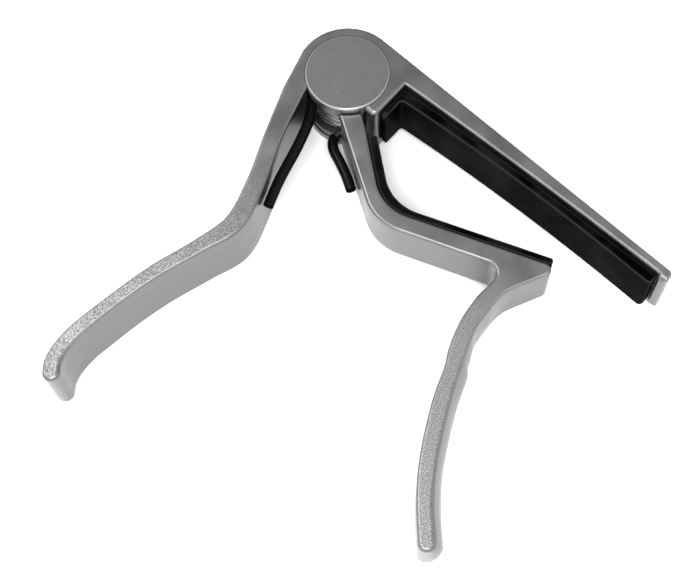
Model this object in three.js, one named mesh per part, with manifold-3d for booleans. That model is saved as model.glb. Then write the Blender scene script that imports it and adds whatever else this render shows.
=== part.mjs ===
// A sprung guitar capo, lying on its side: two cast levers on one pivot, a rubber-faced bar that
// presses the strings, a jaw that clamps the back of the neck, and a coil spring that holds them shut.
// Millimetres. +Z is the pivot axis, +X runs along the string bar away from the pivot, and the origin is
// on the pivot axis in the outer face of the lower hub cap. The jaw is shown closed, on its stop.

import * as THREE from 'three';
import { mergeVertices } from 'three/addons/utils/BufferGeometryUtils.js';
import Module from 'manifold-3d';

const wasm = await Module();
wasm.setup();

// ---- Driving dimensions ----

const OVER_CAPS = 15.6; // height of the stack, from cap face to cap face
const MIDDLE = OVER_CAPS / 2;
const BAR_WIDTH = 15; // string lever, across its two faces
const JAW_WIDTH = 12; // neck lever, across its two faces
const EDGE = 0.6; // radius on the cast edges

// The hub's outer wall runs into the handle, and its cheeks run on from there to the notch, in degrees.
const HUB = {
  outer: 10.5,
  cavity: 8.9,
  cheek: 8.55,
  cheekThickness: 1.2,
  wallTo: 190,
  cheekFrom: 243,
  cheekTo: 334,
};
const CAP = { radius: 8.5, thickness: 0.8, rim: 0.25, stemRadius: 1.4, stemLength: 3 };
const PIN = { radius: 3, hollow: 1.6, depth: 3.6, chamfer: 0.3 };
const BORE = 3.08; // radius of every hole that the pin passes through
const SEAT_GAP = 0.1; // between a cap and the recess that it is pressed into

const EAR = { radius: 8.3, thickness: 1.3, running: 0.3 };
const POCKET = 9.5; // radius of the neck lever's pocket round the coil

// The wire leaves the coil for the long leg at one angle, and for the short leg at the other, in degrees.
const SPRING = { wire: 0.75, coil: 6.9, pitch: 1.66, turns: 3, longAt: 220, shortAt: -27 };
const SLEEVE = { outer: 1.1, inner: 0.9, longFrom: 0.1, shortFrom: 0.26 };
const BUSH = { bore: 3.15, outer: 5.6, width: 7.4, chamfer: 0.4 };

const BAR = {
  root: 10.5, // x of the wall at the inner end of the string pad
  rootFloor: -3.9, // how far that wall reaches below the pivot
  tip: 75.2,
  top: 7.5, // y of the bar's back at its tip
  under: [5.5, 6.3, 5.65], // y of the arched underside: at its root, its control point and its lip
  lip: 73.5,
  lipDraft: 0.1,
  lipDrop: 0.7,
  rootCorner: 0.7, // corner radii
  lipCorners: [0.62, 0.9],
  tipCorner: 1.1,
};

// Handle and trigger: points down the middle of the blade, with the blade's thickness at each. The trigger's
// outer wall, which the fingers pull on, is crowned by the fourth number.
const HANDLE = [
  [-5.6, -10, 4.45],
  [-2, -20, 3.75],
  [2.3, -30, 3.8],
  [4.75, -38.7, 4.05],
  [3, -46.25, 3.15],
  [0.05, -56, 2.95],
  [-1.9, -66, 2.8],
  [-2.95, -75, 3.05],
  [-2.6, -79.2, 3.25],
  [-1.8, -81.5, 3.4],
  [-0.65, -83, 3.5],
];
const TRIGGER = [
  [51.25, -19.5, 3.5, 0.3],
  [51.85, -25, 3.4, 0.4],
  [53.65, -30.6, 3.35, 0.85],
  [54.85, -33.3, 2.95, 1.8],
  [57.65, -40.1, 3.3, 1.3],
  [62.85, -50, 3.25, 1.4],
  [67.3, -56.3, 3.1, 1.6],
  [72.35, -61.8, 3.2, 1.6],
];

const JAW = {
  armFrom: -61.5, // the arm joins the knuckle between these two angles
  armTo: -28.5,
  backBend: [24.7, -20.8, 10.5],
  armpit: [50.1, -11.7, 2.3],
  beakNeck: [53.1, -15.5, 9],
  beakTip: [58.4, -4.75, 1.3],
  padBend: [23.86, -17.33, 9.5],
};

const GLUE = 0.15; // between a rubber pad and the metal behind it
const STRING_PAD = {
  width: 12,
  leg: 1.15, // thickness of the short leg that lines the root wall
  legFloor: -2.25,
  end: 72.9,
  face: [2.9, 4.85, 3.2], // y of the arched pressing face: at its root, its control point and its end
  corner: 0.55, // corner radii
  endCorner: 1,
  edge: 0.5,
};
const NECK_PAD = {
  width: 11,
  onArm: 1.85, // thickness along the arm
  onJaw: 1.4, // thickness along the jaw
  fromKnuckle: 5.5,
  fromBeak: 1.6,
  bend: 9.6, // radius of its face where arm and jaw meet
  corner: 0.6,
  edge: 0.3,
};

// Long and short spring legs, from the coil to the tip, in the plane of the legs.
const LONG_LEG = [
  [-2.9, -7.5],
  [-0.8, -10.6],
  [0.93, -14.9],
  [2.21, -19],
  [3.2, -22.7],
  [4.3, -26.3],
  [5.85, -30.4],
];
const SHORT_LEG = [
  [4.79, -5.8],
  [3.95, -7.5],
  [4.2, -9.2],
  [5.6, -10.4],
  [8.5, -12.05],
  [11.4, -13.7],
  [13.9, -15.3],
];

// ---- Materials ----

const finish = (color, roughness, metalness) => new THREE.MeshStandardMaterial({ color, roughness, metalness });
const nickel = finish(0x9a9a9a, 0.42, 0.9);
const rubber = finish(0x161616, 0.65, 0);
const sleeving = finish(0x0f0f10, 0.35, 0);
const steel = finish(0x8b8d8f, 0.3, 1);
const nylon = finish(0xd8d6cd, 0.5, 0);

// ---- Plane curves ----

const radians = THREE.MathUtils.degToRad;

/** Points on an arc about the origin, anticlockwise from one angle to another, both in degrees. */
function arc(radius, from, to, step = 8) {
  const count = Math.ceil(Math.abs(to - from) / step);
  return Array.from({ length: count + 1 }, (_, i) => {
    const a = radians(from + ((to - from) * i) / count);
    return [radius * Math.cos(a), radius * Math.sin(a)];
  });
}

/** A path through [x, y] points, with every [x, y, radius] corner turned into an arc of that radius. */
function rounded(corners, step = 12) {
  const points = [];
  corners.forEach(([x, y, radius], i) => {
    if (!radius) {
      points.push([x, y]);
      return;
    }
    const corner = new THREE.Vector2(x, y);
    const before = new THREE.Vector2(...corners.at(i - 1)).sub(corner).normalize();
    const after = new THREE.Vector2(...corners[(i + 1) % corners.length]).sub(corner).normalize();
    const half = Math.acos(THREE.MathUtils.clamp(before.dot(after), -1, 1)) / 2;
    const centre = before.clone().add(after).normalize().multiplyScalar(radius / Math.sin(half)).add(corner);
    const start = before.clone().multiplyScalar(radius / Math.tan(half)).add(corner).sub(centre);
    const side = Math.sign(before.cross(after)); // -1 on an outer corner of an anticlockwise path
    const sweep = -side * (Math.PI - 2 * half);
    const count = Math.max(2, Math.ceil(Math.abs(sweep) / radians(step)));
    for (let k = 0; k <= count; k++) {
      const p = start.clone().rotateAround(new THREE.Vector2(), (sweep * k) / count).add(centre);
      points.push([p.x, p.y]);
    }
  });
  return points;
}

/** Both edges of a blade that follows the stations, and its rounded end. The right-hand one has the crown. */
function blade(stations, count) {
  const spine = new THREE.CatmullRomCurve3(
    stations.map(([x, y, thickness]) => new THREE.Vector3(x, y, thickness)),
    false,
    'centripetal',
  );
  const left = [];
  const right = [];
  for (let i = 0; i <= count; i++) {
    const at = spine.getPoint(i / count);
    const along = spine.getTangent(i / count);
    const across = new THREE.Vector2(along.y, -along.x).normalize().multiplyScalar(at.z / 2);
    left.push([at.x + across.x, at.y + across.y]);
    right.push([at.x - across.x, at.y - across.y, crownAt(stations, i / count)]);
  }
  const end = spine.getPoint(1);
  const tip = [];
  const first = new THREE.Vector2(left[count][0] - end.x, left[count][1] - end.y);
  const steps = 8;
  for (let k = 1; k < steps; k++) {
    const p = first.clone().rotateAround(new THREE.Vector2(), (Math.PI * k) / steps);
    const crown = crownAt(stations, 1) * Math.max(0, (2 * k) / steps - 1);
    tip.push([p.x + end.x, p.y + end.y, crown]);
  }
  return { left, tip, right: right.reverse() };
}

/** The crown at a share of the way along the stations. */
function crownAt(stations, share) {
  const place = share * (stations.length - 1);
  const before = Math.floor(place);
  const [, , , low = 0] = stations[before];
  const [, , , high = 0] = stations[Math.ceil(place)];
  return low + (high - low) * THREE.MathUtils.smoothstep(place - before, 0, 1);
}

/** Points on the parabola that starts at (x0, y0), heads for the control point and ends at (x1, y1). */
function parabola(x0, [y0, control, y1], x1, count = 10) {
  const curve = new THREE.QuadraticBezierCurve(
    new THREE.Vector2(x0, y0),
    new THREE.Vector2((x0 + x1) / 2, control),
    new THREE.Vector2(x1, y1),
  );
  return curve.getPoints(count).map((p) => [p.x, p.y]);
}

// ---- Solids ----

/** How far each point of an anticlockwise outline moves inward for one unit of inset. */
function insets(points) {
  return points.map((here, i) => {
    const before = points.at(i - 1);
    const after = points[(i + 1) % points.length];
    const a = new THREE.Vector2(here[1] - before[1], before[0] - here[0]).normalize();
    const b = new THREE.Vector2(after[1] - here[1], here[0] - after[0]).normalize();
    return a.clone().add(b).divideScalar(-1 - a.dot(b));
  });
}

/**
 * A slab of the outline between two heights, with its edges rounded over. Where a point has a third number,
 * the wall swells by that much half-way up.
 */
function slab(points, low, high, edge = EDGE) {
  const moves = insets(points);
  const crowned = points.some((p) => p[2]);
  const rounding = [0, 1, 2, 3].map((k) => (k * Math.PI) / 6);
  const foot = rounding.map((a) => [edge * (1 - Math.cos(a)), edge * (1 - Math.sin(a))]);
  const wall = crowned ? [0.25, 0.5, 0.75].map((share) => [edge + (high - low - 2 * edge) * share, 0]) : [];
  const head = foot.map(([rise, inset]) => [high - low - rise, inset]).reverse();
  const levels = [...foot, ...wall, ...head];
  const count = points.length;
  const position = levels.flatMap(([rise, inset]) => {
    const swell = 1 - ((2 * rise) / (high - low) - 1) ** 2;
    return points.flatMap(([x, y, crown = 0], i) => {
      const distance = inset - crown * swell;
      return [x + moves[i].x * distance, y + moves[i].y * distance, low + rise];
    });
  });
  const index = [];
  for (let level = 0; level < levels.length - 1; level++) {
    for (let i = 0; i < count; i++) {
      const a = level * count + i;
      const b = level * count + ((i + 1) % count);
      index.push(a, b, b + count, a, b + count, a + count);
    }
  }
  const last = (levels.length - 1) * count;
  const face = points.map((_, i) => new THREE.Vector2(position[3 * i], position[3 * i + 1]));
  THREE.ShapeUtils.triangulateShape(face, []).forEach(([a, b, c]) => {
    index.push(a, c, b, last + a, last + b, last + c);
  });
  const geometry = new THREE.BufferGeometry();
  geometry.setAttribute('position', new THREE.Float32BufferAttribute(position, 3));
  geometry.setIndex(index);
  geometry.computeVertexNormals();
  return geometry;
}

/** A body of revolution about the pivot axis, from a closed [radius, z] profile. */
function turned(profile, segments = 48) {
  const points = profile.map(([r, z]) => new THREE.Vector2(r, z));
  return new THREE.LatheGeometry(points, segments).rotateX(Math.PI / 2);
}

/** A plain cylinder about the pivot axis, for cutting. */
const cutter = (radius, low, high, segments = 64) =>
  turned([[0, low], [radius, low], [radius, high], [0, high]], segments);

/** A geometry as a closed solid that can be joined and cut. */
function solid(geometry) {
  const bare = geometry.clone();
  bare.deleteAttribute('normal');
  bare.deleteAttribute('uv');
  const merged = mergeVertices(bare, 1e-4);
  const corners = merged.index.array;
  const triangles = [];
  for (let i = 0; i < corners.length; i += 3) {
    const [a, b, c] = corners.slice(i, i + 3);
    if (a !== b && b !== c && c !== a) triangles.push(a, b, c); // a revolve has empty triangles on its axis
  }
  const made = new wasm.Manifold(
    new wasm.Mesh({
      numProp: 3,
      vertProperties: new Float32Array(merged.attributes.position.array),
      triVerts: new Uint32Array(triangles),
    }),
  );
  if (made.volume() <= 0) throw new Error('a solid is inside out');
  return made;
}

const less = (body, ...cuts) => cuts.reduce((left, cut) => left.subtract(solid(cut)), body);

/** A joined and cut solid as a geometry. */
function geometryOf(made) {
  const mesh = made.getMesh();
  const geometry = new THREE.BufferGeometry();
  geometry.setAttribute('position', new THREE.BufferAttribute(new Float32Array(mesh.vertProperties), 3));
  geometry.setIndex(new THREE.BufferAttribute(new Uint32Array(mesh.triVerts), 1));
  geometry.computeVertexNormals();
  return geometry;
}

/** The two heights of something that straddles the middle plane. */
const straddle = (width) => [MIDDLE - width / 2, MIDDLE + width / 2];

/** The same cutter below and above the middle plane, spanning a pair of heights on each side. */
function onBothSides(radius, inner, outer) {
  return [cutter(radius, MIDDLE - outer, MIDDLE - inner), cutter(radius, MIDDLE + inner, MIDDLE + outer)];
}

const capRecess = OVER_CAPS / 2 - CAP.thickness - SEAT_GAP; // half-height between the two recess floors
const cheekInside = capRecess - HUB.cheekThickness;
const earOutside = cheekInside - EAR.running;
const earInside = earOutside - EAR.thickness;
const beyond = OVER_CAPS; // a half-height clear of the part, for cuts that run right out of it

// ---- The string lever: bar, hub and handle in one casting ----

function barLever() {
  const { left, tip, right } = blade(HANDLE, 34);
  const backTangent = 90 - THREE.MathUtils.radToDeg(Math.atan2(HUB.outer - BAR.top, BAR.tip));
  const [rootY, , lipY] = BAR.under;
  const outline = [
    ...arc(HUB.outer, backTangent, HUB.wallTo),
    ...left,
    ...tip,
    ...right,
    ...arc(HUB.cheek, HUB.cheekFrom, HUB.cheekTo),
    ...rounded([
      [HUB.cheek, BAR.rootFloor],
      [BAR.root, BAR.rootFloor, BAR.rootCorner],
      [BAR.root, rootY],
    ]).slice(1, -1),
    ...parabola(BAR.root, BAR.under, BAR.lip),
    ...rounded([
      [BAR.lip, lipY],
      [BAR.lip + BAR.lipDraft, lipY - BAR.lipDrop, BAR.lipCorners[0]],
      [BAR.tip, lipY - BAR.lipDrop, BAR.lipCorners[1]],
      [BAR.tip, BAR.top, BAR.tipCorner],
      [0, HUB.outer],
    ]).slice(1, -1),
  ];
  const casting = solid(slab(outline, ...straddle(BAR_WIDTH)));
  return geometryOf(
    less(
      casting,
      cutter(HUB.cavity, ...straddle(2 * cheekInside)),
      ...onBothSides(CAP.radius + SEAT_GAP, capRecess, beyond),
      cutter(BORE, ...straddle(2 * beyond), 32),
    ),
  );
}

// ---- The neck lever: two ears on the pivot, arm, jaw, beak and trigger in one casting ----

function jawLever() {
  const { left, tip, right } = blade(TRIGGER, 24);
  const knuckle = arc(EAR.radius, JAW.armTo, JAW.armFrom + 360);
  const outline = [
    ...knuckle,
    ...rounded([knuckle.at(-1), JAW.backBend, JAW.armpit, left[0]]).slice(1, -1),
    ...left,
    ...tip,
    ...right,
    ...rounded([right.at(-1).slice(0, 2), JAW.beakNeck, JAW.beakTip, JAW.padBend, knuckle[0]]).slice(1, -1),
  ];
  const casting = solid(slab(outline, ...straddle(JAW_WIDTH)));
  return geometryOf(
    less(
      casting,
      cutter(POCKET, ...straddle(2 * earInside)),
      ...onBothSides(HUB.cavity, earOutside, beyond),
      cutter(BORE, ...straddle(2 * beyond), 32),
    ),
  );
}

// ---- Pivot: pin, caps and the bush inside the coil ----

/** Caps are pressed over both ends of the pin: a disc with a chamfered rim, and a stem into the hollow pin. */
const capProfile = [
  [0, 0],
  [CAP.radius - CAP.rim, 0],
  [CAP.radius, CAP.rim],
  [CAP.radius, CAP.thickness],
  [CAP.stemRadius, CAP.thickness],
  [CAP.stemRadius, CAP.thickness + CAP.stemLength],
  [0, CAP.thickness + CAP.stemLength],
];
const upsideDown = (profile) => profile.map(([r, z]) => [r, OVER_CAPS - z]).reverse();

function pivotPin() {
  const low = CAP.thickness + 2 * SEAT_GAP;
  const lowerHalf = [
    [0, low + PIN.depth],
    [PIN.hollow, low + PIN.depth],
    [PIN.hollow, low],
    [PIN.radius - PIN.chamfer, low],
    [PIN.radius, low + PIN.chamfer],
  ];
  return turned([...lowerHalf, ...upsideDown(lowerHalf)], 32);
}

function springBush() {
  const [low, high] = straddle(BUSH.width);
  const { bore, outer, chamfer } = BUSH;
  return turned(
    [
      [bore, low],
      [outer - chamfer, low],
      [outer, low + chamfer],
      [outer, high - chamfer],
      [outer - chamfer, high],
      [bore, high],
      [bore, low],
    ],
    32,
  );
}

// ---- Torsion spring and the sleeves on its legs ----

const coilAngle = SPRING.longAt - SPRING.shortAt + 360 * SPRING.turns;
const coilHeight = (SPRING.pitch * coilAngle) / 360;
const longLegZ = MIDDLE + coilHeight / 2;
const shortLegZ = MIDDLE - coilHeight / 2;

const at = (points, z) => points.map(([x, y]) => new THREE.Vector3(x, y, z));
const through = (points) => new THREE.CatmullRomCurve3(points, false, 'centripetal');

/** Where the wire's centre runs: up the long leg, down through the coil, and out along the short leg. */
function springPath() {
  const perTurn = 18;
  const count = Math.round((coilAngle / 360) * perTurn);
  const coil = arc(SPRING.coil, SPRING.longAt, SPRING.longAt - coilAngle, coilAngle / count);
  return through([
    ...at(LONG_LEG, longLegZ).reverse(),
    ...coil.map(([x, y], i) => new THREE.Vector3(x, y, longLegZ - (coilHeight * i) / (coil.length - 1))),
    ...at(SHORT_LEG, shortLegZ),
  ]);
}

/** Where a sleeve's centre runs: along a leg from a share of its length to its tip, and a little beyond. */
function sleevePath(leg, z, from) {
  const whole = through(at(leg, z));
  const points = Array.from({ length: 13 }, (_, i) => whole.getPointAt(from + ((1 - from) * i) / 12));
  const overhang = whole.getTangentAt(1).multiplyScalar(SLEEVE.outer - SPRING.wire);
  return through([...points, points.at(-1).clone().add(overhang)]);
}

function circle(radius, sides, clockwise = false) {
  const path = new THREE.Path();
  for (let i = 0; i <= sides; i++) {
    const a = ((clockwise ? -1 : 1) * 2 * Math.PI * i) / sides;
    path[i ? 'lineTo' : 'moveTo'](radius * Math.cos(a), radius * Math.sin(a));
  }
  return path;
}

function torsionSpring() {
  const section = new THREE.Shape(circle(SPRING.wire, 8).getPoints());
  return new THREE.ExtrudeGeometry(section, { steps: 130, extrudePath: springPath() });
}

function sleeve(leg, z, from, steps) {
  const section = new THREE.Shape(circle(SLEEVE.outer, 10).getPoints());
  section.holes.push(circle(SLEEVE.inner, 10, true));
  return new THREE.ExtrudeGeometry(section, { steps, extrudePath: sleevePath(leg, z, from) });
}

// ---- Rubber pads ----

function stringPad() {
  const top = BAR.under.map((y) => y - GLUE);
  const wall = BAR.root + GLUE;
  const legFace = wall + STRING_PAD.leg;
  const pressing = parabola(legFace, STRING_PAD.face, STRING_PAD.end, 11);
  const outline = [
    ...rounded([
      [wall, top[0]],
      [wall, STRING_PAD.legFloor, STRING_PAD.corner],
      [legFace, STRING_PAD.legFloor, STRING_PAD.corner],
      [legFace, STRING_PAD.face[0], STRING_PAD.corner],
      pressing[1],
    ]).slice(1, -1),
    ...pressing.slice(1, -1),
    ...rounded([
      pressing.at(-2),
      [...pressing.at(-1), STRING_PAD.endCorner],
      [STRING_PAD.end, top[2]],
    ]).slice(1, -1),
    ...parabola(wall, top, STRING_PAD.end).reverse(),
  ];
  return slab(outline, ...straddle(STRING_PAD.width), STRING_PAD.edge);
}

/** A line through two points, moved to its left. */
function beside([x0, y0], [x1, y1], distance) {
  const along = new THREE.Vector2(x1 - x0, y1 - y0).normalize();
  const start = new THREE.Vector2(x0 - along.y * distance, y0 + along.x * distance);
  return { start, along, end: start.clone().addScaledVector(along, Math.hypot(x1 - x0, y1 - y0)) };
}

/** Where two such lines meet. */
function meet(one, other) {
  const share = other.start.clone().sub(one.start).cross(other.along) / one.along.cross(other.along);
  return one.start.clone().addScaledVector(one.along, share);
}

function neckPad() {
  const [root] = arc(EAR.radius, JAW.armTo, JAW.armTo + 1);
  const bend = JAW.padBend.slice(0, 2);
  const bendRadius = JAW.padBend[2];
  const beak = JAW.beakTip.slice(0, 2);
  const side = (onArm, onJaw, radius) => {
    const arm = beside(root, bend, onArm);
    const jaw = beside(bend, beak, onJaw);
    return [
      arm.start.addScaledVector(arm.along, NECK_PAD.fromKnuckle).toArray(),
      [...meet(arm, jaw).toArray(), radius],
      jaw.end.addScaledVector(jaw.along, -NECK_PAD.fromBeak).toArray(),
    ];
  };
  const back = side(GLUE, GLUE, bendRadius - GLUE);
  const face = side(GLUE + NECK_PAD.onArm, GLUE + NECK_PAD.onJaw, NECK_PAD.bend);
  const softened = face.reverse().map(([x, y, r]) => [x, y, r ?? NECK_PAD.corner]);
  return slab(rounded([...back, ...softened]), ...straddle(NECK_PAD.width), NECK_PAD.edge);
}

// ---- The capo ----

const part = new THREE.Group();

function add(name, geometry, material) {
  const mesh = new THREE.Mesh(geometry, material);
  mesh.name = name;
  part.add(mesh);
}

add('bar_lever', barLever(), nickel);
add('string_pad', stringPad(), rubber);
add('pivot_pin', pivotPin(), steel);
add('lower_hub_cap', turned(capProfile, 64), nickel);
add('upper_hub_cap', turned(upsideDown(capProfile), 64), nickel);
add('spring_bush', springBush(), nylon);
add('torsion_spring', torsionSpring(), steel);
add('long_leg_sleeve', sleeve(LONG_LEG, longLegZ, SLEEVE.longFrom, 10), sleeving);
add('short_leg_sleeve', sleeve(SHORT_LEG, shortLegZ, SLEEVE.shortFrom, 12), sleeving);
add('jaw_lever', jawLever(), nickel);
add('neck_pad', neckPad(), rubber);

export default part;
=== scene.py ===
import math

import bpy
from mathutils import Matrix, Vector


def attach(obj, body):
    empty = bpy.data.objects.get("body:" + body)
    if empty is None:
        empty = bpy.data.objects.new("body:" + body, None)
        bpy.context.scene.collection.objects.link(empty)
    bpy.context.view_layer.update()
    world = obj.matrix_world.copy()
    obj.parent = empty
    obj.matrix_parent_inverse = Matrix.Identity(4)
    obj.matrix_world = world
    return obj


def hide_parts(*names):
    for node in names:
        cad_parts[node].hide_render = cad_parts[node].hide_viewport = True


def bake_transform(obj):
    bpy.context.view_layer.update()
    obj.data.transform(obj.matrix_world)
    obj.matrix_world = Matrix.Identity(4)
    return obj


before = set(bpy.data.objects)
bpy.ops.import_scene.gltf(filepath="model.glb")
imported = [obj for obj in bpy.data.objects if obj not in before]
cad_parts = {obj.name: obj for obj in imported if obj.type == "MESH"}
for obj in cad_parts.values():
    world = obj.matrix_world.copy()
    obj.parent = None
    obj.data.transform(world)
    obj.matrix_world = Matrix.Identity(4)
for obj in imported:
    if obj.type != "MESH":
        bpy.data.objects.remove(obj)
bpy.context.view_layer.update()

# ---- Sizes, in millimetres as on the solids; every point is turned into metres as its mesh is made ----

MM = 0.001
OVER_CAPS = 15.6
MIDDLE = OVER_CAPS / 2
BAR_WIDTH = 15
JAW_WIDTH = 12
EDGE = 0.6  # radius on the cast edges
TIP_EDGE = 0.8  # and on the upper edges of handle and trigger, near their ends
TIP_FOOT = 1.5  # and on their lower edges there
TIP_REACH = 12  # how far from an end its fuller edges begin
HUB_FILLET = 1.1  # radius on the hub's corner, beside the short leg of the string pad
HUB_REACH = 7  # and how far from that corner it begins

HUB_OUTER = 10.5
HUB_CAVITY = 8.9
HUB_CHEEK = 8.55
CHEEK = 1.2
CAP_RADIUS = 8.5
CAP_THICKNESS = 0.8
CAP_RIM = 0.25
STEM_RADIUS = 1.4
STEM_LENGTH = 3
BORE = 3.08
SEAT_GAP = 0.1
EAR_RADIUS = 8.3
EAR = 1.3
RUNNING = 0.3
POCKET = 9.5

SPRING_WIRE = 0.75
SPRING_COIL = 6.9
SPRING_PITCH = 1.66
SPRING_TURNS = 3
LONG_AT = 220  # angles at which the legs leave the coil, in degrees
SHORT_AT = -27
WIRE_STEP = 0.5
WIRE_SHORT = 2  # how many steps the wire stops short of each end of its route
WIRE_TAPER = 0.8  # share of the wire's radius at its two cuts
SLEEVE_OUTER = 1.1
SLEEVE_INNER = 0.9
SLEEVE_STEP = 0.25
# Round a sleeve's softened end, from bore to outside: (steps from the end, share of the wall's thickness).
SLEEVE_LIP = [(0.9, 0), (0.35, 0.35), (0.12, 0.75), (0.3, 0.93), (0.8, 1)]
LONG_FROM = 0.03  # where a sleeve starts, as a share of its leg
SHORT_FROM = 0.19

BAR_ROOT = 10.5
BAR_ROOT_FLOOR = -3.9
BAR_TIP = 75.05
BAR_TOP = 7.5
BAR_UNDER = (5.5, 6.3, 5.65)  # start, control and end height of the parabola under the bar
BAR_LIP = 73.1
LIP_DROP = 0.7
LIP_DRAFT = 0.1
BAR_ROOT_CORNER = 1.15
LIP_CORNERS = (0.62, 0.9)
TIP_CORNER = 1.1
WALL_TO = 190  # angles round the hub, in degrees
CHEEK_FROM = 243
CHEEK_TO = 334

# Stations down the middle of each blade: (x, y, width), and for the trigger how far its outer wall swells.
HANDLE = [
    (-5.6, -10, 4.45),
    (-2, -20, 3.75),
    (2.3, -30, 3.8),
    (4.75, -38.7, 4.05),
    (3, -46.25, 3.15),
    (0.05, -56, 2.95),
    (-1.9, -66, 2.8),
    (-2.95, -75, 3.05),
    (-2.6, -79.2, 3.25),
    (-1.8, -81.5, 3.4),
    (-0.65, -83, 3.5),
]
TRIGGER = [
    (51.25, -19.5, 3.5, 0.3),
    (51.85, -25, 3.4, 0.4),
    (53.65, -30.6, 3.35, 0.95),
    (54.85, -33.3, 2.95, 1.6),
    (57.65, -40.1, 3.3, 1.35),
    (62.85, -50, 3.25, 1.4),
    (67.3, -56.3, 3.1, 1.6),
    (72.35, -61.8, 3.2, 1.6),
]
ARM_FROM = -61.5  # angles between which the arm leaves the ears, in degrees
ARM_TO = -28.5
# Corners of the arm and the jaw, each with its radius.
BACK_BEND = (24.7, -20.8, 10.5)
ARMPIT = (50.1, -11.7, 2.3)
BEAK_NECK = (53.1, -15.5, 9)
BEAK_TIP = (58.4, -4.75, 1.3)
PAD_BEND = (23.86, -17.33, 9.5)

GLUE = 0.15
STRING_PAD_WIDTH = 12
STRING_PAD_LEG = 1.15
STRING_PAD_FLOOR = -2.25
STRING_PAD_EDGE = 0.5
STRING_PAD_CORNER = 0.55  # radius at the foot of the leg
STRING_PAD_BEND = 0.75  # where the leg turns into the face
STRING_PAD_NOSE = 1.0  # and at the far end of the face
LEG_CORNERS = (1.7, 1.7)  # radii across the width of the leg's end, at its lower and its upper side
LIP_SIDES = (2.5, 1.1)  # and of the lip's edge
ROOT_SIDES = (2.6, 0.8)  # and of the wall behind the leg
STRING_PAD_END = 72.9
STRING_PAD_FACE = (2.9, 4.85, 3.2)
NECK_PAD_WIDTH = 11
NECK_PAD_ARM = 1.85
NECK_PAD_JAW = 1.4
NECK_PAD_FROM_KNUCKLE = 5.5
NECK_PAD_FROM_BEAK = 2.2
NECK_PAD_BEND = 9.6
NECK_PAD_EDGE = 0.4
NECK_PAD_CORNER = 0.6

LONG_LEG = [
    (-2.9, -7.5),
    (-0.8, -10.6),
    (0.93, -14.9),
    (2.21, -19),
    (3.2, -22.7),
    (4.3, -26.3),
    (5.85, -30.4),
]
SHORT_LEG = [
    (4.79, -5.8),
    (3.9, -7.5),
    (3.95, -9.2),
    (5.25, -10.75),
    (8.4, -12.25),
    (11.4, -13.75),
    (13.9, -15.3),
]

CAP_RECESS = OVER_CAPS / 2 - CAP_THICKNESS - SEAT_GAP
CHEEK_INSIDE = CAP_RECESS - CHEEK
EAR_OUTSIDE = CHEEK_INSIDE - RUNNING
EAR_INSIDE = EAR_OUTSIDE - EAR

# ---- Plane curves ----


def arc(radius, start, stop, step=3):
    """Points on an arc about the pivot, from one angle to another in degrees."""
    count = math.ceil(abs(stop - start) / step)
    angles = [math.radians(start + (stop - start) * i / count) for i in range(count + 1)]
    return [(radius * math.cos(a), radius * math.sin(a)) for a in angles]


def fillet(before, corner, after, radius, step=5):
    """The arc of that radius that replaces a corner."""
    here = Vector(corner)
    back = (Vector(before) - here).normalized()
    ahead = (Vector(after) - here).normalized()
    half = math.acos(max(-1, min(1, back.dot(ahead)))) / 2
    centre = here + (back + ahead).normalized() * (radius / math.sin(half))
    start = here + back * (radius / math.tan(half)) - centre
    side = -1 if back.cross(ahead) < 0 else 1
    sweep = -side * (math.pi - 2 * half)
    count = max(3, math.ceil(abs(sweep) / math.radians(step)))
    return [tuple(centre + Matrix.Rotation(sweep * k / count, 2) @ start) for k in range(count + 1)]


def rounded(corners):
    """A path through (x, y) points in which every (x, y, radius) corner is an arc."""
    points = []
    for i, corner in enumerate(corners):
        if len(corner) == 2:
            points.append(corner)
            continue
        before = corners[i - 1][:2]
        after = corners[(i + 1) % len(corners)][:2]
        points += fillet(before, corner[:2], after, corner[2])
    return points


def parabola(x0, heights, x1, count=40):
    """Points on the parabola with that start, control and end height."""
    y0, control, y1 = heights
    points = []
    for i in range(count + 1):
        t = i / count
        y = (1 - t) ** 2 * y0 + 2 * t * (1 - t) * control + t * t * y1
        points.append((x0 + (x1 - x0) * t, y))
    return points


def spline(points, count):
    """Points along a centripetal Catmull-Rom curve, evenly spaced in its parameter."""
    p = [Vector(q) for q in points]
    p = [2 * p[0] - p[1], *p, 2 * p[-1] - p[-2]]
    spans = len(points) - 1
    made = []
    for i in range(count + 1):
        t = i * spans / count
        k = min(int(t), spans - 1)
        w = t - k
        a, b, c, d = p[k : k + 4]
        ta, tb, tc = (max((q - r).length ** 0.5, 1e-4) for q, r in ((a, b), (b, c), (c, d)))
        m1 = ((b - a) / ta - (c - a) / (ta + tb) + (c - b) / tb) * tb
        m2 = ((c - b) / tb - (d - b) / (tb + tc) + (d - c) / tc) * tb
        made.append(b + m1 * w + (3 * (c - b) - 2 * m1 - m2) * w**2 + (2 * (b - c) + m1 + m2) * w**3)
    return made


def crown_at(stations, share):
    """The crown of the trigger's outer wall at a share of the way along it."""
    place = share * (len(stations) - 1)
    before = min(int(place), len(stations) - 2)
    w = place - before
    low, high = (s[3] if len(s) > 3 else 0 for s in stations[before : before + 2])
    return low + (high - low) * (3 * w**2 - 2 * w**3)


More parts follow.
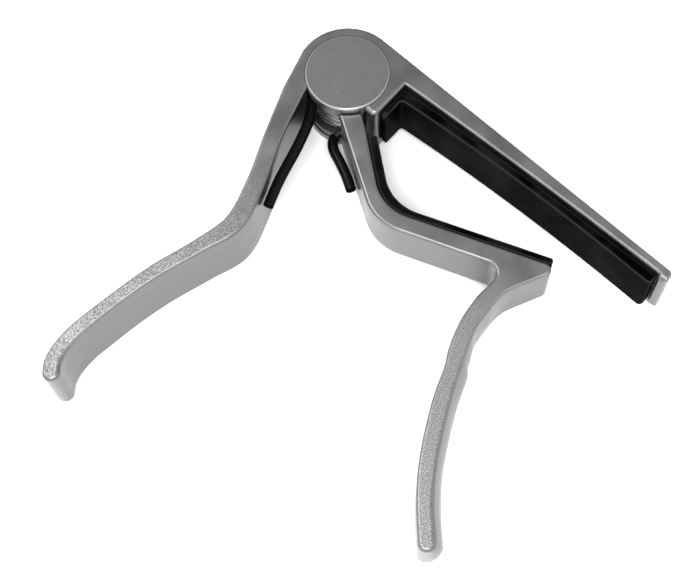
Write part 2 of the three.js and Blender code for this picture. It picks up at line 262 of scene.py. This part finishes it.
def blade(stations, count):
    """A blade's left edge, its rounded end, and its right edge, which has the crown."""
    spine = spline([s[:3] for s in stations], count)
    left = []
    right = []
    for i, at in enumerate(spine):
        ahead = spine[min(i + 1, count)]
        behind = spine[max(i - 1, 0)]
        along = Vector((ahead.x - behind.x, ahead.y - behind.y)).normalized()
        across = Vector((along.y, -along.x)) * at.z / 2
        left.append((at.x + across.x, at.y + across.y))
        right.append((at.x - across.x, at.y - across.y, crown_at(stations, i / count)))
    end = spine[-1].xy
    first = Vector(left[-1]) - end
    steps = 16
    tip = []
    for k in range(1, steps):
        x, y = end + Matrix.Rotation(math.pi * k / steps, 2) @ first
        tip.append((x, y, crown_at(stations, 1) * max(0, 2 * k / steps - 1)))
    return left, tip, right[::-1]


# ---- Meshes ----


def new_object(name, verts, faces):
    mesh = bpy.data.meshes.new(name)
    mesh.from_pydata([Vector(v) * MM for v in verts], [], faces)
    mesh.validate()
    made = bpy.data.objects.new(name, mesh)
    bpy.context.scene.collection.objects.link(made)
    return made


def bridge(rings, sides, closed=False):
    """Quads between each ring of points and the next."""
    pairs = list(zip(range(rings - 1), range(1, rings)))
    if closed:
        pairs.append((rings - 1, 0))
    faces = []
    for a, b in pairs:
        for i in range(sides):
            j = (i + 1) % sides
            faces.append((a * sides + i, a * sides + j, b * sides + j, b * sides + i))
    return faces


def inward(outline):
    """At each corner of an anticlockwise outline, how far a point moves for one unit of inset."""
    moves = []
    for i, here in enumerate(outline):
        a = Vector(here[:2]) - Vector(outline[i - 1][:2])
        b = Vector(outline[(i + 1) % len(outline)][:2]) - Vector(here[:2])
        na = Vector((a.y, -a.x)).normalized()
        nb = Vector((b.y, -b.x)).normalized()
        moves.append(-(na + nb) / max(0.3, 1 + na.dot(nb)))
    return moves


def tidy(outline):
    """The outline without points that sit on top of the one before."""
    kept = []
    for p in outline:
        if not kept or (Vector(p[:2]) - Vector(kept[-1][:2])).length > 0.01:
            kept.append(p)
    return kept


def slab(name, outline, width, edge, rings=6, floors=8):
    """A slab of the outline astride the middle plane, with rounded edges.

    The edge function gives the radius at a point, on the upper or the lower face. Where a point has a third
    number, the wall swells by that much half-way up.
    """
    outline = tidy(outline)
    moves = inward(outline)
    levels = [(math.pi / 2 * k / rings, 0) for k in range(rings + 1)]
    levels += [(math.pi / 2, k / floors) for k in range(1, floors)]
    levels += [(math.pi / 2 * k / rings, 1) for k in range(rings, -1, -1)]
    verts = []
    for turn, share in levels:
        for p, move in zip(outline, moves):
            radius = edge(p[0], p[1], share > 0.5)
            rise = radius * (1 - math.cos(turn))
            height = rise + (width - 2 * rise) * share
            crown = p[2] if len(p) > 2 else 0
            swell = crown * (1 - (2 * height / width - 1) ** 2)
            x, y = Vector(p[:2]) + move * (radius * (1 - math.sin(turn)) - swell)
            verts.append((x, y, MIDDLE - width / 2 + height))
    sides = len(outline)
    faces = bridge(len(levels), sides)
    faces.append(tuple(reversed(range(sides))))
    faces.append(tuple(range((len(levels) - 1) * sides, len(levels) * sides)))
    return new_object(name, verts, faces)


def round_off(piece, start, stop, floor, width, radii):
    """Rounds the two corners, across its width, of a slab's lower edge between two x positions."""
    for vertex in piece.data.vertices:
        x, y, z = vertex.co / MM
        if not start < x < stop:
            continue
        rise = z - MIDDLE
        radius = radii[rise > 0]
        beyond = min(radius, max(0, abs(rise) - (width / 2 - radius)))
        lift = radius - math.sqrt(radius**2 - beyond**2)
        vertex.co.y = max(y, floor + lift) * MM


def turned(name, profile, sides=96):
    """A closed body of revolution about the pivot axis, from a (radius, z) profile."""
    verts = []
    for r, z in profile:
        for i in range(sides):
            a = 2 * math.pi * i / sides
            verts.append((r * math.cos(a), r * math.sin(a), z))
    faces = bridge(len(profile), sides)
    faces.append(tuple(reversed(range(sides))))
    faces.append(tuple(range((len(profile) - 1) * sides, len(profile) * sides)))
    return new_object(name, verts, faces)


def cylinder(radius, low, high):
    return turned("cutter", [(radius, low), (radius, high)], 128)


def cut(body, cutters):
    """Takes the cutters out of the body and leaves the result as its mesh."""
    for tool in cutters:
        step = body.modifiers.new("cut", "BOOLEAN")
        step.object = tool
        step.operation = "DIFFERENCE"
        step.solver = "EXACT"
    bpy.context.view_layer.update()
    shape = bpy.data.meshes.new_from_object(body.evaluated_get(bpy.context.evaluated_depsgraph_get()))
    body.modifiers.clear()
    body.data = shape
    for tool in cutters:
        bpy.data.objects.remove(tool)


def smooth(piece, sharp=35):
    """Smooth shading that keeps flat faces flat and edges above the angle crisp."""
    piece.data.shade_smooth()
    piece.data.set_sharp_from_angle(angle=math.radians(sharp))
    weighted = piece.modifiers.new("weighted", "WEIGHTED_NORMAL")
    weighted.keep_sharp = True
    weighted.weight = 90


def sweep(name, path, radii, sides, closed=False):
    """A round skin along the path; radii gives (place on the path, radius) for each ring."""
    last = len(path) - 1
    tangents = [(path[min(i + 1, last)] - path[max(i - 1, 0)]).normalized() for i in range(last + 1)]
    normal = tangents[0].orthogonal().normalized()
    frames = []
    for t in tangents:
        normal = (normal - t * normal.dot(t)).normalized()
        frames.append((normal.copy(), t.cross(normal)))
    verts = []
    for place, radius in radii:
        k = min(int(place), last - 1)
        centre = path[k].lerp(path[k + 1], place - k)
        u, v = frames[min(round(place), last)]
        for i in range(sides):
            a = 2 * math.pi * i / sides
            verts.append(centre + u * (radius * math.cos(a)) + v * (radius * math.sin(a)))
    faces = bridge(len(radii), sides, closed)
    if not closed:
        faces.append(tuple(reversed(range(sides))))
        faces.append(tuple(range((len(radii) - 1) * sides, len(radii) * sides)))
    return new_object(name, verts, faces)


def even(path, spacing):
    """The path's points, resampled to that spacing."""
    lengths = [0]
    for a, b in zip(path, path[1:]):
        lengths.append(lengths[-1] + (b - a).length)
    count = max(2, round(lengths[-1] / spacing))
    made = []
    k = 0
    for i in range(count + 1):
        goal = lengths[-1] * i / count
        while k < len(path) - 2 and lengths[k + 1] < goal:
            k += 1
        share = (goal - lengths[k]) / max(lengths[k + 1] - lengths[k], 1e-9)
        made.append(path[k].lerp(path[k + 1], share))
    return made


# ---- Materials ----


class Shader:
    """A material's node tree, with short ways to add and link nodes."""

    def __init__(self, name):
        self.material = bpy.data.materials.new(name)
        self.material.use_nodes = True
        self.tree = self.material.node_tree
        self.surface = self.tree.nodes["Principled BSDF"]
        self.place = self.add("ShaderNodeTexCoord").outputs["Object"]

    def add(self, kind, **values):
        node = self.tree.nodes.new(kind)
        for key, value in values.items():
            setattr(node, key, value)
        return node

    def link(self, source, target):
        self.tree.links.new(source, target)

    def set(self, **values):
        for key, value in values.items():
            self.surface.inputs[key.replace("_", " ")].default_value = value

    def noise(self, scale, detail=2, roughness=0.5, place=None):
        node = self.add("ShaderNodeTexNoise")
        node.inputs["Scale"].default_value = scale
        node.inputs["Detail"].default_value = detail
        node.inputs["Roughness"].default_value = roughness
        self.link(place or self.place, node.inputs["Vector"])
        return node.outputs["Fac"]

    def spread(self, source, low, high, start=0.3, stop=0.7):
        """The source's range start to stop, mapped to low to high."""
        node = self.add("ShaderNodeMapRange")
        for socket, value in zip(("From Min", "From Max", "To Min", "To Max"), (start, stop, low, high)):
            node.inputs[socket].default_value = value
        self.link(source, node.inputs["Value"])
        return node.outputs["Result"]

    def math(self, kind, *values):
        """A sum or product of sockets and numbers."""
        node = self.add("ShaderNodeMath", operation=kind)
        for socket, value in zip(node.inputs, values):
            if isinstance(value, (int, float)):
                socket.default_value = value
            else:
                self.link(value, socket)
        return node.outputs[0]

    def length(self, vector):
        node = self.add("ShaderNodeVectorMath", operation="LENGTH")
        self.link(vector, node.inputs[0])
        return node.outputs["Value"]

    def parts(self, vector):
        """The x, y and z of a vector."""
        node = self.add("ShaderNodeSeparateXYZ")
        self.link(vector, node.inputs[0])
        return node.outputs

    def tint(self, factor, dark, light, start=0.3, stop=0.7):
        ramp = self.add("ShaderNodeValToRGB")
        ramp.color_ramp.elements[0].position = start
        ramp.color_ramp.elements[1].position = stop
        ramp.color_ramp.elements[0].color = (*dark, 1)
        ramp.color_ramp.elements[1].color = (*light, 1)
        self.link(factor, ramp.inputs["Fac"])
        self.link(ramp.outputs["Color"], self.surface.inputs["Base Color"])

    def rough(self, factor, low, high):
        self.link(self.spread(factor, low, high), self.surface.inputs["Roughness"])

    def bump(self, height, strength, distance, base=None):
        node = self.add("ShaderNodeBump")
        node.inputs["Strength"].default_value = strength
        node.inputs["Distance"].default_value = distance
        self.link(height, node.inputs["Height"])
        if base:
            self.link(base, node.inputs["Normal"])
        self.link(node.outputs["Normal"], self.surface.inputs["Normal"])
        return node.outputs["Normal"]


def cast_nickel():
    """Satin nickel on a blasted casting.

    The flat faces carry a fine grain, strongest on the handle and the trigger. The walls are smooth, and
    their colour is darker than the flat faces': painted shade.
    """
    s = Shader("cast nickel")
    s.set(Metallic=1.0)
    grain = s.noise(5000, detail=2, roughness=0.6)
    clouds = s.noise(150, detail=3)
    y = s.parts(s.place)[1]
    normal_z = s.parts(s.add("ShaderNodeNewGeometry").outputs["True Normal"])[2]
    level = s.spread(s.math("ABSOLUTE", normal_z), 0, 1, 0.85, 0.99)
    reach = s.spread(s.length(s.place), 0.06, 1, 0.025, 0.055)
    grip = s.spread(y, 1, 0.1, -0.023, -0.013)
    amount = s.math("MULTIPLY", level, s.math("MULTIPLY", reach, grip))
    speckle = s.math("MULTIPLY", s.math("SUBTRACT", grain, 0.5), amount)
    drift = s.math("MULTIPLY_ADD", clouds, 0.15, -0.075)
    # Flat faces get a paler colour than the walls (level times 0.12): painted light for how faces and walls
    # catch the lamps. Drift and the grain's share are the casting's own tone.
    plain = s.math("MULTIPLY_ADD", level, 0.12, s.math("MULTIPLY_ADD", amount, 0.05, drift))
    shade = s.math("ADD", s.math("MULTIPLY_ADD", speckle, 2.4, 0.21), plain)
    s.tint(shade, (0.06, 0.06, 0.0605), (0.5, 0.5, 0.502), 0.0, 1.0)
    s.rough(s.math("MULTIPLY_ADD", amount, 0.4, clouds), 0.27, 0.4)
    soft = s.bump(clouds, 0.1, 0.0003)
    s.bump(speckle, 0.5, 0.00012, soft)
    return s.material


def cap_steel():
    """The caps are turned and plated: smoother than the castings, with a faint cloudiness."""
    s = Shader("cap nickel")
    s.set(Metallic=1.0)
    fine = s.noise(2200, detail=3)
    clouds = s.noise(220, detail=2)
    s.tint(clouds, (0.23, 0.23, 0.231), (0.25, 0.25, 0.251))
    s.rough(fine, 0.3, 0.36)
    s.bump(fine, 0.1, 0.00003)
    return s.material


def wire_steel():
    s = Shader("spring wire")
    s.set(Metallic=1.0)
    fine = s.noise(1800, detail=3)
    # The steel is given a dark colour: painted shade for the shade the coil lies in inside the hub.
    s.tint(fine, (0.14, 0.14, 0.142), (0.18, 0.18, 0.182))
    s.rough(fine, 0.26, 0.32)
    s.bump(fine, 0.08, 0.00002)
    return s.material


def moulded_rubber():
    """Black rubber that is a little paler where a surface turns over an edge: a painted highlight."""
    s = Shader("moulded rubber")
    s.set(Specular_IOR_Level=0.004)
    fine = s.noise(2600, detail=3)
    clouds = s.noise(140, detail=3)
    height = s.parts(s.add("ShaderNodeNewGeometry").outputs["Normal"])[2]
    slope = s.math("MULTIPLY", height, height)
    # Paler where the normal turns over an edge: a painted highlight line. The clouds are the rubber's own
    # mottle.
    edge = s.math("MULTIPLY", slope, s.math("SUBTRACT", 1.0, slope))
    painted_edge_highlight_and_mottle = s.math("MULTIPLY_ADD", edge, 3.4, clouds)
    s.tint(painted_edge_highlight_and_mottle, (0.0007, 0.0007, 0.0008), (0.015, 0.015, 0.0153), 0.4, 1.5)
    s.rough(clouds, 0.38, 0.5)
    soft = s.bump(clouds, 0.12, 0.0005)
    s.bump(fine, 0.3, 0.00005, soft)
    return s.material


def black_sleeving():
    s = Shader("black sleeving")
    s.set(Specular_IOR_Level=0.06, Coat_Weight=0.06, Coat_Roughness=0.2)
    fine = s.noise(900, detail=2)
    clouds = s.noise(200, detail=2)
    s.tint(clouds, (0.0015, 0.0015, 0.0016), (0.003, 0.003, 0.0032))
    s.rough(fine, 0.28, 0.38)
    s.bump(clouds, 0.15, 0.0003)
    return s.material


def natural_nylon():
    s = Shader("natural nylon")
    clouds = s.noise(300, detail=2)
    s.tint(clouds, (0.66, 0.64, 0.58), (0.74, 0.72, 0.66))
    s.rough(clouds, 0.45, 0.55)
    s.bump(clouds, 0.1, 0.0002)
    return s.material


NICKEL = cast_nickel()
CAP = cap_steel()
WIRE = wire_steel()
RUBBER = moulded_rubber()
SLEEVING = black_sleeving()
NYLON = natural_nylon()


def finish_piece(piece, material, slot, body, *nodes):
    """Gives a piece its material and its body, and hides the CAD nodes that it stands for."""
    piece.data.materials.clear()
    piece.data.materials.append(material)
    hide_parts(*nodes)
    if body:
        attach(piece, body)


# ---- Levers ----


def tip_share(x, y, end):
    """From 0 to 1 over the last few millimetres before the end of a handle or trigger."""
    return max(0, 1 - math.dist((x, y), end[:2]) / TIP_REACH) ** 0.5


def blade_edge(x, y, upper, end):
    goal = TIP_EDGE if upper else TIP_FOOT
    return EDGE + (goal - EDGE) * tip_share(x, y, end)


def bar_edge(x, y, upper):
    """The cast edge is a plain small round, fuller at the hub's corner and at the end of the handle."""
    corner = max(0, 1 - math.dist((x, y), (BAR_ROOT, BAR_ROOT_FLOOR)) / HUB_REACH)
    return max(EDGE + (HUB_FILLET - EDGE) * corner, blade_edge(x, y, upper, HANDLE[-1]))


def jaw_edge(x, y, upper):
    return blade_edge(x, y, upper, TRIGGER[-1])


LIP_FLOOR = BAR_UNDER[2] - LIP_DROP


def bar_outline():
    left, tip, right = blade(HANDLE, count=120)
    back_tangent = 90 - math.degrees(math.atan2(HUB_OUTER - BAR_TOP, BAR_TIP))
    return [
        *arc(HUB_OUTER, back_tangent, WALL_TO),
        *left,
        *tip,
        *right,
        *arc(HUB_CHEEK, CHEEK_FROM, CHEEK_TO),
        *rounded([
            (HUB_CHEEK, BAR_ROOT_FLOOR),
            (BAR_ROOT, BAR_ROOT_FLOOR, BAR_ROOT_CORNER),
            (BAR_ROOT, BAR_UNDER[0]),
        ])[1:-1],
        *parabola(BAR_ROOT, BAR_UNDER, BAR_LIP),
        *rounded([
            (BAR_LIP, BAR_UNDER[2]),
            (BAR_LIP + LIP_DRAFT, LIP_FLOOR, LIP_CORNERS[0]),
            (BAR_TIP, LIP_FLOOR, LIP_CORNERS[1]),
            (BAR_TIP, BAR_TOP, TIP_CORNER),
            (0, HUB_OUTER),
        ])[1:-1],
    ]


def bar_lever():
    piece = slab("string_lever_casting", bar_outline(), BAR_WIDTH, bar_edge, floors=24)
    round_off(piece, BAR_LIP - 0.05, BAR_TIP + 1, LIP_FLOOR, BAR_WIDTH, LIP_SIDES)
    round_off(piece, HUB_CHEEK - 0.5, BAR_ROOT + 0.05, BAR_ROOT_FLOOR, BAR_WIDTH, ROOT_SIDES)
    over = OVER_CAPS
    cut(piece, [
        cylinder(HUB_CAVITY, MIDDLE - CHEEK_INSIDE, MIDDLE + CHEEK_INSIDE),
        cylinder(CAP_RADIUS + SEAT_GAP, MIDDLE - over, MIDDLE - CAP_RECESS),
        cylinder(CAP_RADIUS + SEAT_GAP, MIDDLE + CAP_RECESS, MIDDLE + over),
        cylinder(BORE, MIDDLE - over, MIDDLE + over),
    ])
    smooth(piece)
    finish_piece(piece, NICKEL, "nickel", "string_lever", "bar_lever")


def jaw_outline():
    left, tip, right = blade(TRIGGER, count=90)
    knuckle = arc(EAR_RADIUS, ARM_TO, ARM_FROM + 360)
    return [
        *knuckle,
        *rounded([knuckle[-1], BACK_BEND, ARMPIT, left[0]])[1:-1],
        *left,
        *tip,
        *right,
        *rounded([right[-1][:2], BEAK_NECK, BEAK_TIP, PAD_BEND, knuckle[0]])[1:-1],
    ]


def jaw_lever():
    piece = slab("neck_lever_casting", jaw_outline(), JAW_WIDTH, jaw_edge)
    over = OVER_CAPS
    cut(piece, [
        cylinder(POCKET, MIDDLE - EAR_INSIDE, MIDDLE + EAR_INSIDE),
        cylinder(HUB_CAVITY, MIDDLE - over, MIDDLE - EAR_OUTSIDE),
        cylinder(HUB_CAVITY, MIDDLE + EAR_OUTSIDE, MIDDLE + over),
        cylinder(BORE, MIDDLE - over, MIDDLE + over),
    ])
    smooth(piece)
    finish_piece(piece, NICKEL, "nickel", "neck_lever", "jaw_lever")


# ---- Caps ----


def hub_cap(name, node, upper):
    """A chamfered disc with a stem, drawn from its outer face and turned over for the upper end."""
    middle = 0.02
    soft = 0.03
    profile = [
        (middle, 0),
        (CAP_RADIUS - CAP_RIM - 2 * soft, 0),
        (CAP_RADIUS - CAP_RIM, soft),
        (CAP_RADIUS - soft, CAP_RIM - soft),
        (CAP_RADIUS, CAP_RIM + soft),
        (CAP_RADIUS, CAP_THICKNESS),
        (STEM_RADIUS, CAP_THICKNESS),
        (STEM_RADIUS, CAP_THICKNESS + STEM_LENGTH),
        (middle, CAP_THICKNESS + STEM_LENGTH),
    ]
    if upper:
        profile = [(r, OVER_CAPS - z) for r, z in reversed(profile)]
    piece = turned(name, profile, sides=160)
    smooth(piece, sharp=20)
    finish_piece(piece, CAP, "cap", "string_lever", node)


# ---- Torsion spring and sleeves ----

COIL_ANGLE = LONG_AT - SHORT_AT + 360 * SPRING_TURNS
COIL_HEIGHT = SPRING_PITCH * COIL_ANGLE / 360
LONG_LEG_Z = MIDDLE + COIL_HEIGHT / 2
SHORT_LEG_Z = MIDDLE - COIL_HEIGHT / 2


def flat(points, z):
    return [Vector((x, y, z)) for x, y in points]


def torsion_spring():
    coil = arc(SPRING_COIL, LONG_AT, LONG_AT - COIL_ANGLE, 15)
    rise = [LONG_LEG_Z - COIL_HEIGHT * i / (len(coil) - 1) for i in range(len(coil))]
    route = [
        *flat(LONG_LEG, LONG_LEG_Z)[::-1],
        *(Vector((x, y, z)) for (x, y), z in zip(coil, rise)),
        *flat(SHORT_LEG, SHORT_LEG_Z),
    ]
    path = even(spline(route, 12 * len(route)), WIRE_STEP)[WIRE_SHORT:-WIRE_SHORT]
    last = len(path) - 1
    wire = SPRING_WIRE
    cut_end = wire * WIRE_TAPER
    middle = [(i, wire) for i in range(1, last)]
    radii = [(0, cut_end), (0.2, wire), *middle, (last - 0.2, wire), (last, cut_end)]
    piece = sweep("torsion_spring_wire", path, radii, sides=20)
    smooth(piece, sharp=50)
    finish_piece(piece, WIRE, "steel", None, "torsion_spring")
    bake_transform(piece)


def sleeve(name, node, leg, z, start, body):
    """A cut length of tube with softened ends, open at both, round one leg of the spring."""
    whole = even(spline(flat(leg, z), 20 * len(leg)), SLEEVE_STEP)
    path = whole[round(start * (len(whole) - 1)) :]
    overhang = (path[-1] - path[-2]).normalized() * (SLEEVE_OUTER - SPRING_WIRE)
    path = even([*path, path[-1] + overhang], SLEEVE_STEP)
    last = len(path) - 1
    depth = SLEEVE_OUTER - SLEEVE_INNER
    near = [(steps, SLEEVE_INNER + depth * share) for steps, share in SLEEVE_LIP]
    far = [(last - steps, radius) for steps, radius in reversed(near)]
    outside = [(i, SLEEVE_OUTER) for i in range(2, last - 1)]
    inside = [(i, SLEEVE_INNER) for i in range(last - 2, 1, -1)]
    piece = sweep(name, path, [*near, *outside, *far, *inside], sides=24, closed=True)
    smooth(piece, sharp=60)
    finish_piece(piece, SLEEVING, "sleeving", body, node)


# ---- Rubber pads ----


def plain_edge(radius):
    """An edge function for a slab with the same radius everywhere."""
    return lambda x, y, upper: radius


def string_pad():
    """The pad under the bar, with the short leg that lines the wall at the bar's root."""
    top = [y - GLUE for y in BAR_UNDER]
    wall = BAR_ROOT + GLUE
    face = wall + STRING_PAD_LEG
    pressing = parabola(face, STRING_PAD_FACE, STRING_PAD_END)
    outline = [
        *rounded([
            (wall, top[0]),
            (wall, STRING_PAD_FLOOR, STRING_PAD_CORNER),
            (face, STRING_PAD_FLOOR, STRING_PAD_CORNER),
            (face, STRING_PAD_FACE[0], STRING_PAD_BEND),
            pressing[1],
        ])[1:-1],
        *pressing[2:-2],
        *rounded([pressing[-3], (*pressing[-1], STRING_PAD_NOSE), (STRING_PAD_END, top[2])])[1:-1],
        *parabola(wall, top, STRING_PAD_END)[::-1],
    ]
    edge = plain_edge(STRING_PAD_EDGE)
    piece = slab("string_pad_rubber", outline, STRING_PAD_WIDTH, edge, floors=24)
    round_off(piece, 0, face + 0.01, STRING_PAD_FLOOR, STRING_PAD_WIDTH, LEG_CORNERS)
    smooth(piece)
    finish_piece(piece, RUBBER, "rubber", "string_lever", "string_pad")


def beside(start, stop, distance):
    """The line through two points moved to its left: its start, its direction and its end."""
    along = (Vector(stop) - Vector(start)).normalized()
    shift = Vector((-along.y, along.x)) * distance
    return Vector(start) + shift, along, Vector(stop) + shift


def meet(one, other):
    """The crossing of two lines from beside()."""
    share = (other[0] - one[0]).cross(other[1]) / one[1].cross(other[1])
    return one[0] + one[1] * share


def neck_pad_side(on_arm, on_jaw, radius):
    """One side of the neck pad, at those distances from the arm and the jaw, with its bend."""
    root = arc(EAR_RADIUS, ARM_TO, ARM_TO + 1)[0]
    arm = beside(root, PAD_BEND[:2], on_arm)
    jaw = beside(PAD_BEND[:2], BEAK_TIP[:2], on_jaw)
    return [
        tuple(arm[0] + arm[1] * NECK_PAD_FROM_KNUCKLE),
        (*meet(arm, jaw), radius),
        tuple(jaw[2] - jaw[1] * NECK_PAD_FROM_BEAK),
    ]


def neck_pad():
    back = neck_pad_side(GLUE, GLUE, PAD_BEND[2] - GLUE)
    face = neck_pad_side(GLUE + NECK_PAD_ARM, GLUE + NECK_PAD_JAW, NECK_PAD_BEND)
    softened = [p if len(p) == 3 else (*p, NECK_PAD_CORNER) for p in reversed(face)]
    outline = rounded([*back, *softened])
    piece = slab("neck_pad_rubber", outline, NECK_PAD_WIDTH, plain_edge(NECK_PAD_EDGE))
    smooth(piece)
    finish_piece(piece, RUBBER, "rubber", "neck_lever", "neck_pad")


bar_lever()
jaw_lever()
hub_cap("upper_cap_disc", "upper_hub_cap", True)
hub_cap("lower_cap_disc", "lower_hub_cap", False)
torsion_spring()
sleeve("long_leg_tube", "long_leg_sleeve", LONG_LEG, LONG_LEG_Z, LONG_FROM, "string_lever")
sleeve("short_leg_tube", "short_leg_sleeve", SHORT_LEG, SHORT_LEG_Z, SHORT_FROM, "neck_lever")
string_pad()
neck_pad()

# The pin and the bush are hidden in the hub, so they stay the solids that they are and only get a material.
for node, material in (("pivot_pin", WIRE), ("spring_bush", NYLON)):
    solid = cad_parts[node]
    solid.data.materials.clear()
    solid.data.materials.append(material)

# ---- Floor, light and camera ----

TENT = 2.0  # brightness of the tent
CARD = (-0.35, 0.6, 0.72)  # direction of the middle of the card
CARD_GREYS = ((0.25, 1.0), (0.82, 0.5), (0.95, 0.28))  # (nearness to that direction, grey)
# Each lamp in metres: its name, its place, the point it faces, its size and its power.
LAMPS = (
    ("left", (-0.33, -0.15, 0.5), (0, -0.07, 0.01), (0.25, 0.2), 1.5),
    ("front", (0.28, -0.33, 0.84), (0.03, -0.04, 0), (0.4, 0.4), 7),
)
LENS = 74.06
CAMERA_PLACE = (99.07, -104.62, 268.2)
CAMERA_RIGHT = (0.7545, 0.6559, -0.0221)
CAMERA_AHEAD = (-0.2496, 0.2558, -0.9340)


def floor():
    half = 3000
    corners = [(-half, -half, 0), (half, -half, 0), (half, half, 0), (-half, half, 0)]
    made = new_object("floor", corners, [(0, 1, 2, 3)])
    s = Shader("pale floor")
    s.set(Roughness=0.9)
    s.tint(s.noise(3), (0.9, 0.9, 0.9), (0.92, 0.92, 0.92))
    made.data.materials.append(s.material)


def lamp(name, place, target, size, power):
    data = bpy.data.lights.new(name, "AREA")
    data.shape = "RECTANGLE"
    data.size, data.size_y = size
    data.energy = power
    made = bpy.data.objects.new(name, data)
    made.location = place
    made.rotation_euler = (Vector(target) - Vector(place)).to_track_quat("-Z", "Y").to_euler()
    bpy.context.scene.collection.objects.link(made)


def studio():
    """A pale tent round the object, which a grey card darkens on one side, and the lamps."""
    world = bpy.data.worlds.new("studio")
    world.use_nodes = True
    tree = world.node_tree
    back = tree.nodes["Background"]
    back.inputs["Strength"].default_value = TENT
    place = tree.nodes.new("ShaderNodeTexCoord")
    toward = tree.nodes.new("ShaderNodeVectorMath")
    toward.operation = "DOT_PRODUCT"
    toward.inputs[1].default_value = CARD
    ramp = tree.nodes.new("ShaderNodeValToRGB")
    ramp.color_ramp.elements.new(0.5)
    for element, (nearness, grey) in zip(ramp.color_ramp.elements, CARD_GREYS):
        element.position = nearness
        element.color = (grey, grey, grey, 1)
    tree.links.new(place.outputs["Generated"], toward.inputs[0])
    tree.links.new(toward.outputs["Value"], ramp.inputs["Fac"])
    tree.links.new(ramp.outputs["Color"], back.inputs["Color"])
    bpy.context.scene.world = world
    bpy.context.scene.view_settings.view_transform = "Standard"
    for values in LAMPS:
        lamp(*values)


def camera():
    data = bpy.data.cameras.new("camera")
    data.sensor_width = 36
    data.lens = LENS
    data.clip_start = 0.01
    made = bpy.data.objects.new("camera", data)
    right = Vector(CAMERA_RIGHT).normalized()
    ahead = Vector(CAMERA_AHEAD).normalized()
    up = right.cross(ahead).normalized()
    ahead = up.cross(right)
    turn = Matrix((right, up, -ahead)).transposed().to_4x4()
    made.matrix_world = Matrix.Translation(Vector(CAMERA_PLACE) * MM) @ turn
    bpy.context.scene.collection.objects.link(made)
    bpy.context.scene.camera = made


floor()
studio()
camera()
